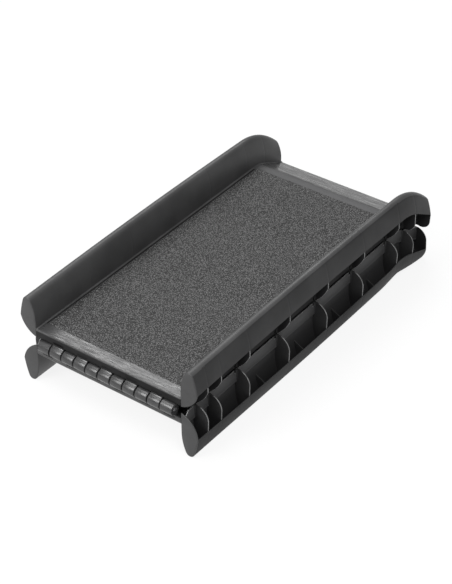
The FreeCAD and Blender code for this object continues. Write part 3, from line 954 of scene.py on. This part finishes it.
def cross_ribs(half):
    """Deep ribs across under the panel, in line with the outer ribs."""
    parts = []
    reach = WEB_OUT - WEB + OVERLAP
    for station in RIB_STATIONS:
        def loop(y):
            low = fold_surface(half, y) + RIB_GAP
            high = tread(half, y) - DECK + OVERLAP
            return [(-reach, low), (reach, low), (reach, high), (-reach, high)]
        parts.append(plate(loop, station - RIB_HALF, station + RIB_HALF, "y", RIM))
    return parts


def tread_sheet(half):
    """The grit coat: a sheet whose face is rough, and whose edges run down to the panel."""
    xs = steps(-SHEET_HALF_WIDTH, SHEET_HALF_WIDTH, SHEET_CELL)
    ys = steps(SHEET_START, SHEET_END, SHEET_CELL)
    wide, long = len(xs), len(ys)
    verts = []
    for j, y in enumerate(ys):
        for i, x in enumerate(xs):
            rim = i in (0, wide - 1) or j in (0, long - 1)
            grain = noise.noise(Vector((x / 1.9, y / 1.9, 5.0 + half.up)))
            height = -0.15 if rim else SHEET_THICK - 0.1 + GRAIN_HEIGHT * grain
            wander = 0.25 * noise.noise(Vector((x / 3, y / 3, 1.7))) if rim else 0
            verts.append((x + wander, y + wander, TREAD + height))
    faces = [(j * wide + i, j * wide + i + 1, (j + 1) * wide + i + 1, (j + 1) * wide + i)
             for j in range(long - 1) for i in range(wide - 1)]
    last = (long - 1) * wide
    border = list(range(wide)) + [j * wide + wide - 1 for j in range(1, long)]
    border += list(range(last + wide - 2, last - 1, -1))
    border += [j * wide for j in range(long - 2, 0, -1)]
    faces.append(tuple(reversed(border)))
    return [(verts, faces)]


# ---- hinge -------------------------------------------------------------------------------------

def knuckle_span(index):
    """Where a knuckle begins and ends along X."""
    pitch = 2 * BARREL_HALF / KNUCKLES
    start = -BARREL_HALF + pitch * index
    return start + KNUCKLE_GAP / 2, start + pitch - KNUCKLE_GAP / 2


def knuckle_loop():
    """Round barrel with a neck that flows up into the front wall."""
    r = BARREL_RADIUS
    wall = END_GAP
    neck = [(wall + 2.5, 21.0), (wall, 21.0), (wall, 19.0), (wall, 16.2), (wall - 0.1, 15.0),
            (wall - 0.9, 13.5)]
    angles = divide(math.radians(104), math.radians(360 + 42), 40)
    barrel = [(r * math.cos(a), r * math.sin(a)) for a in angles]
    return chain(neck, barrel, [(7.2, 12.0), (wall + 2.5, 18.5)])


def knuckle(x0, x1, bored):
    """A length of barrel.  A bored one has the pin's hole in its outer end, which is at x1."""
    loop = knuckle_loop()
    if not bored:
        return plate(lambda t: loop, x0, x1, "x", KNUCKLE_RIM)
    outward = 1 if x1 > x0 else -1
    rings = [[(x0, p, q) for p, q in loop]]
    for i in range(8):
        a = math.pi / 2 * i / 7
        depth, cut = KNUCKLE_RIM * math.sin(a), KNUCKLE_RIM * (1 - math.cos(a))
        x = x1 - outward * (KNUCKLE_RIM - depth)
        rings.append([(x, p, q) for p, q in inset(loop, cut)])
    angles = [math.atan2(q, p) for p, q in loop]
    for radius, back in ((BORE_RADIUS + 0.8, 0), (BORE_RADIUS, 0.8), (BORE_RADIUS, 7)):
        x = x1 - outward * back
        rings.append([(x, radius * math.cos(a), radius * math.sin(a)) for a in angles])
    return loft(rings)


def hinge_strip(half):
    """The front wall with the half's knuckles.  The outermost two are bored."""
    front, back = END_GAP, END_GAP + END_WALL
    low, high = HINGE_WALL_LOW, TREAD - half.nose_size
    wall_loop = [(front, low), (back, low), (back, high), (front, high)]
    parts = [plate(lambda x: wall_loop, -RAIL_IN, RAIL_IN, "x", 0.3, 2)]
    for index in half.knuckles:
        x0, x1 = knuckle_span(index)
        if index == 0:
            parts.append(knuckle(x1, x0, True))
        else:
            parts.append(knuckle(x0, x1, index == KNUCKLES - 1))
    return parts


def hinge_pin():
    r, chamfer = PIN_RADIUS, 0.7
    reach = BARREL_HALF - PIN_RECESS
    profile = [(0.3, -reach), (r - chamfer, -reach), (r, -reach + chamfer),
               (r, reach - chamfer), (r - chamfer, reach), (0.3, reach)]
    return [lathe(profile, (0, 0, 0), (1, 0, 0))]


# ---- camera, floor and lights ------------------------------------------------------------------

CAMERA_AT = (1626.14, -1837.66, 1989.51)     # in the vehicle half's frame
CAMERA_YAW = 36.493       # degrees
CAMERA_PITCH = 36.394
CAMERA_ROLL = -0.178
CAMERA_LENS = 108.05
FLOOR_GREY = 0.09
FLOOR_GLOW = 0.86
SKY_GLOW = 0.42
LIGHTS = [                # name, azimuth, elevation, distance, size, power
    ("key", -18, 36, 3.2, (1.4, 1.4), 75),
    ("back", 216.5, 44, 3.2, (1.8, 0.8), 42),
    ("overhead", -60, 72, 3.2, (1.8, 1.8), 45),
    ("fill", 50, 54, 3.4, (1.4, 1.0), 70),
]


def add_camera():
    yaw, pitch, roll = (math.radians(a) for a in (CAMERA_YAW, CAMERA_PITCH, CAMERA_ROLL))
    ahead = Vector((-math.sin(yaw) * math.cos(pitch), math.cos(yaw) * math.cos(pitch),
                    -math.sin(pitch)))
    right = Vector((math.cos(yaw), math.sin(yaw), 0))
    over = right.cross(ahead)
    right_2 = right * math.cos(roll) + over * math.sin(roll)
    over_2 = over * math.cos(roll) - right * math.sin(roll)
    turn = Matrix((right_2, over_2, -ahead)).transposed().to_4x4()
    move = Matrix.Translation(Vector(CAMERA_AT) * MM)
    data = bpy.data.cameras.new("camera")
    data.lens = CAMERA_LENS
    data.sensor_width = 36.0
    data.clip_start, data.clip_end = 0.05, 60
    camera = bpy.data.objects.new("camera", data)
    bpy.context.scene.collection.objects.link(camera)
    camera.matrix_world = Matrix.Translation(HINGE) @ TILT @ move @ turn
    bpy.context.scene.camera = camera


def area_light(name, azimuth, elevation, distance, size, power):
    """A soft box aimed at the ramp.  Azimuth 0 stands at -Y, and 90 at +X."""
    data = bpy.data.lights.new(name, "AREA")
    data.shape = "RECTANGLE"
    data.size, data.size_y = size
    data.energy = power
    lamp = bpy.data.objects.new(name, data)
    bpy.context.scene.collection.objects.link(lamp)
    a, e = math.radians(azimuth), math.radians(elevation)
    away = Vector((math.sin(a) * math.cos(e), -math.cos(a) * math.cos(e), math.sin(e)))
    lamp.location = away * distance + Vector((0, 0, 0.1))
    lamp.rotation_euler = away.to_track_quat("Z", "Y").to_euler()


def add_floor():
    bpy.ops.mesh.primitive_grid_add(x_subdivisions=2, y_subdivisions=2, size=24)
    floor = bpy.context.object
    floor.name = "floor"
    material, _, shader = new_material("floor")
    shader.inputs["Base Color"].default_value = (FLOOR_GREY, FLOOR_GREY, FLOOR_GREY, 1)
    shader.inputs["Emission Color"].default_value = (1, 1, 1, 1)
    shader.inputs["Emission Strength"].default_value = FLOOR_GLOW
    shader.inputs["Roughness"].default_value = 0.9
    shader.inputs["Specular IOR Level"].default_value = 0.1
    floor.data.materials.append(material)


def add_sky():
    world = bpy.data.worlds.new("studio")
    world.use_nodes = True
    background = world.node_tree.nodes["Background"]
    background.inputs["Color"].default_value = (1, 1, 1, 1)
    background.inputs["Strength"].default_value = SKY_GLOW
    bpy.context.scene.world = world
    bpy.context.scene.view_settings.view_transform = "Standard"


# ---- assembly ----------------------------------------------------------------------------------

def paint_faces(piece, material, chosen):
    """Gives another finish to the faces for which chosen(face) is true."""
    index = piece.data.materials.find(material.name)
    if index < 0:
        index = len(piece.data.materials)
        piece.data.materials.append(material)
    for face in piece.data.polygons:
        if chosen(face):
            face.material_index = index


def station(face):
    """How far a face is from the hinge line, in millimetres."""
    return (face.center.y - HINGE.y) / MM


def beside_sheet(half, face):
    """The narrow grooves of the panel between the tread sheet and the beads."""
    from_hinge = station(face)
    along = SHEET_START < from_hinge < SHEET_END
    low = abs(face.center.z - place(half, (0, from_hinge, TREAD)).z) < 0.5 * MM
    return (face.normal.z * half.up > 0.9 and along and low
            and abs(face.center.x) > SHEET_HALF_WIDTH * MM)


def on_bead(half, face):
    """The beads, which stand above the walking face."""
    from_hinge = station(face)
    walking_face = place(half, (0, from_hinge, tread(half, from_hinge)))
    height = (face.center.z - walking_face.z) * half.up
    return height > 0.4 * MM and abs(face.center.x) > (RAIL_IN - BEAD_WIDTH) * MM


def add_half_piece(half, name, parts, nodes, material=PLASTIC, side=1):
    nodes = [f"{half.name}_{node}" for node in nodes]
    return add_piece(f"{half.name}_{name}", half, parts, nodes, material, side)


def build_side(half, side_name, side):
    """One rail with its cap, ribs, gussets and web.  Its outer skins and insides are painted in shade, the vehicle
    half's inside near black.
    """
    def piece(name, parts, node, material=PLASTIC):
        return add_half_piece(half, f"{side_name}_{name}", parts, [f"{side_name}_{node}"],
                              material, side=side)

    def outward(face):
        return face.normal.x * side

    def beyond(face, x):
        return face.center.x * side > x

    dark = half is VehicleHalf
    shell = piece("rail_shell", [rail(half)], "rail")
    # The outer skins are painted in shade, darker than the rest of the moulding.
    paint_faces(shell, SKIN_SHADED if dark else LOW_SKIN_SHADED,
                lambda f: outward(f) > 0.8 and beyond(f, SKIN_FROM_X))
    if not dark:
        # The hollow faces of the ground half's rails are painted in shade, darker towards the crest.
        paint_faces(shell, BAY_WALL_SHADE, lambda f: outward(f) > 0.3 and f.center.x * side < BAY_TO_X)
    piece("rail_cap", [end_cap(half, *half.caps[side_name]), parting_line(half)], "end_cap")
    # Ribs and gussets are painted in shade, the vehicle half's near black.
    rib_shade = INNER_SHADE if dark else SKIN_SHADED
    ribs = piece("rail_ribs", outer_ribs(half), "outer_ribs", rib_shade)
    # The ribs' rims are painted with a highlight.
    paint_faces(ribs, EDGE_HIGHLIGHT, lambda f: outward(f) > 0.35 and beyond(f, RIM_FROM_X))
    # The end plate's face toward the hinge is painted in shade.
    paint_faces(ribs, INNER_SHADE, lambda f: f.normal.y < -0.5 and station(f) > END_PLATE_FROM)
    piece("bay_gussets", gussets(half), "gussets", rib_shade)
    # The webs are painted in shade: near black on the vehicle half, darker towards the crest on the ground half.
    web = piece("web", side_web(half), "side_web", INNER_SHADE if dark else BAY_WALL_SHADE)
    # The web's edge toward the fold plane is painted with a highlight.
    paint_faces(web, EDGE_HIGHLIGHT, lambda f: f.normal.z * half.up < -0.3)


def build_half(half):
    for side_name, side in SIDES.items():
        build_side(half, side_name, side)

    def upward(face):
        return face.normal.z * half.up

    parts = walking_panel(half) + beads(half) + [end_wall(half)] + foot_bosses(half)
    panel = add_half_piece(half, "walking_panel", parts, ["deck", "lip"])
    paint_faces(panel, POLISHED, lambda f: upward(f) > 0.25)
    # The grooves beside the tread sheet are painted in shade.
    paint_faces(panel, INNER_SHADE, lambda f: beside_sheet(half, f))
    paint_faces(panel, DULL,
                lambda f: upward(f) > 0.9 and FLAT_STRIP[0] < station(f) < FLAT_STRIP[1])
    paint_faces(panel, DULL, lambda f: on_bead(half, f))
    add_half_piece(half, "deck_stringers", stringers(half), ["stringers"])
    add_half_piece(half, "deck_cross_ribs", cross_ribs(half), ["cross_ribs"])
    add_half_piece(half, "grit_sheet", tread_sheet(half), ["tread_sheet"], GRIT)
    add_half_piece(half, "rubber_feet", feet(half), ["feet"], RUBBER)
    strip = add_half_piece(half, "knuckle_strip", hinge_strip(half), ["hinge_strip"], BARREL)
    if half is VehicleHalf:
        # The vehicle's front wall and knuckle necks above the barrel are painted in shade.
        paint_faces(strip, INNER_SHADE,
                    lambda f: f.normal.y < -0.3 and f.center.z - HINGE.z > SHADED_WALL_FROM)


def paint_cad_nodes():
    """The latch keeps its CAD shapes."""
    finishes = {"latch_screw": LATCH_STEEL, "latch_catch": LATCH_STEEL, "latch_lever": PLASTIC}
    for name, material in finishes.items():
        mesh = frame["nodes"][name].data
        mesh.materials.clear()
        mesh.materials.append(material)


add_camera()
add_floor()
add_sky()
for light in LIGHTS:
    area_light(*light)
for half in HALVES:
    build_half(half)
add_piece("steel_hinge_pin", GroundHalf, hinge_pin(), ["hinge_pin"], PIN_STEEL)
paint_cad_nodes()
